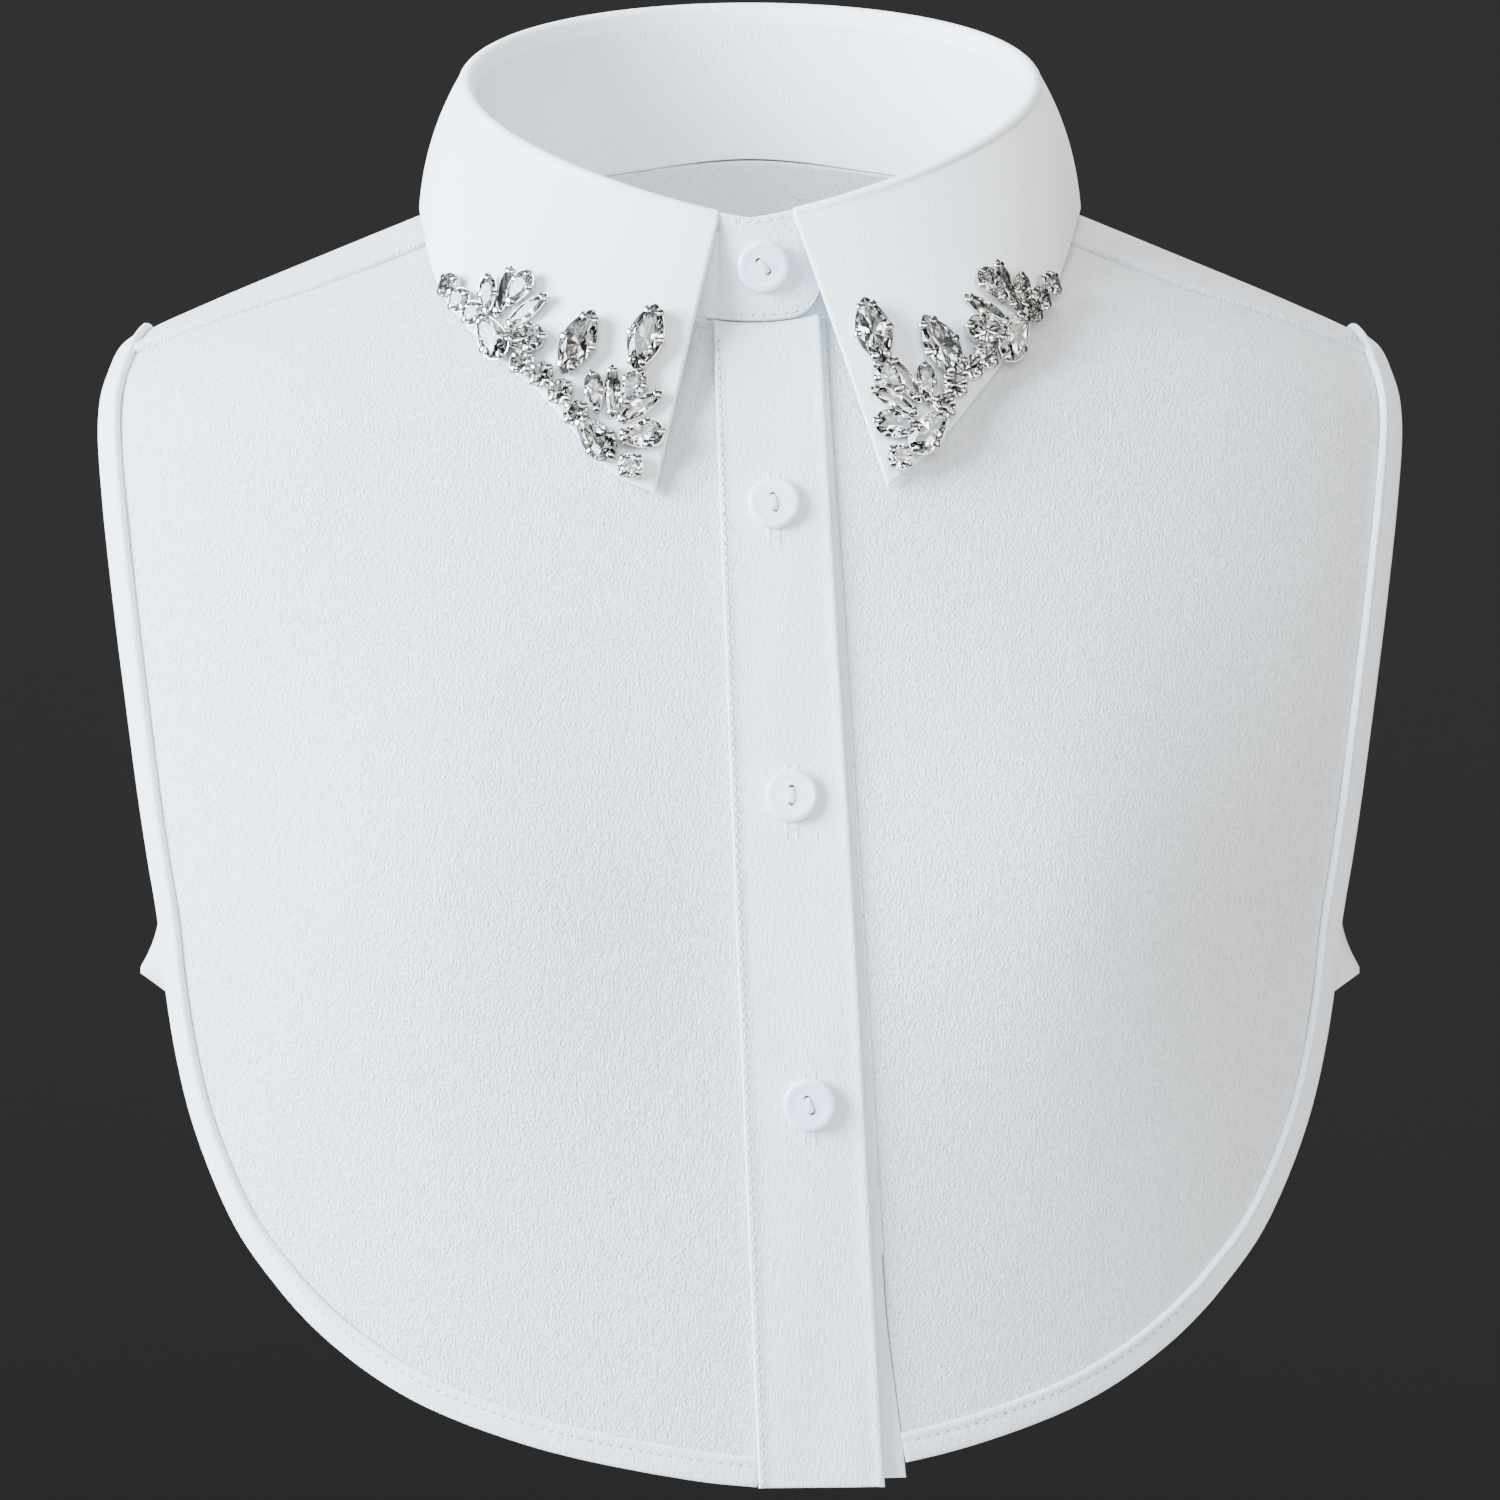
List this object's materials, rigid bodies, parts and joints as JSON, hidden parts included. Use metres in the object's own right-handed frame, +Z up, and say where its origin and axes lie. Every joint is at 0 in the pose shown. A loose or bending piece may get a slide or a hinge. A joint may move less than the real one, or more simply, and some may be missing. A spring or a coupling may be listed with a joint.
{
  "type": "detachable shirt collar with jewelled points",
  "caption": "White crepe false shirt collar with a buttoned bib front, elastic side straps and clear cut stones in claw settings on both collar points, in the form it has when worn.",
  "frame": {"origin": "The centre of the neck, level with the top edge of the collar at the front, where the collar sits on a neck. It is stated as the mount neck, and nothing of the part is at that point.", "axes": "+X points to the wearer's left, -Y points forwards out of the chest, and +Z points up along the neck."},
  "size_m": [0.307, 0.208, 0.3326],
  "materials": {
    "crepe": "white pebbled crepe, matt",
    "elastic": "white ribbed elastic, matt",
    "button": "glossy bluish white",
    "stone": "clear cut glass with foil back in a bright silver claw setting",
    "thread": "white sewing thread"
  },
  "bodies": {
    "root": {"collar_leaf": "crepe", "neck_band": "crepe", "placket": "crepe", "front_right": "crepe", "front_left": "crepe", "back_panel": "crepe", "under_placket": "crepe", "binding_right": "crepe", "binding_left": "crepe", "strap_right": "elastic", "strap_left": "elastic", "button_1": "button", "button_2": "button", "button_3": "button", "button_4": "button", "stone_right_round_1": "stone", "stone_left_round_1": "stone", "stone_right_round_2": "stone", "stone_left_round_2": "stone", "stone_right_round_3": "stone", "stone_left_round_3": "stone", "stone_right_round_4": "stone", "stone_left_round_4": "stone", "stone_right_round_5": "stone", "stone_left_round_5": "stone", "stone_right_round_6": "stone", "stone_left_round_6": "stone", "stone_right_round_7": "stone", "stone_left_round_7": "stone", "stone_right_round_8": "stone", "stone_left_round_8": "stone", "stone_right_upper_pear_1": "stone", "stone_left_upper_pear_1": "stone", "stone_right_upper_slim_1": "stone", "stone_left_upper_slim_1": "stone", "stone_right_upper_pear_2": "stone", "stone_left_upper_pear_2": "stone", "stone_right_upper_slim_2": "stone", "stone_left_upper_slim_2": "stone", "stone_right_upper_side": "stone", "stone_left_upper_side": "stone", "stone_right_upper_big": "stone", "stone_left_upper_big": "stone", "stone_right_navette_1": "stone", "stone_left_navette_1": "stone", "stone_right_navette_2": "stone", "stone_left_navette_2": "stone", "stone_right_lower_pear_1": "stone", "stone_left_lower_pear_1": "stone", "stone_right_lower_slim_1": "stone", "stone_left_lower_slim_1": "stone", "stone_right_lower_pear_2": "stone", "stone_left_lower_pear_2": "stone", "stone_right_lower_slim_2": "stone", "stone_left_lower_slim_2": "stone", "stone_right_lower_side": "stone", "stone_left_lower_side": "stone", "stone_right_lower_big": "stone", "stone_left_lower_big": "stone"}
  },
  "joints": []
}
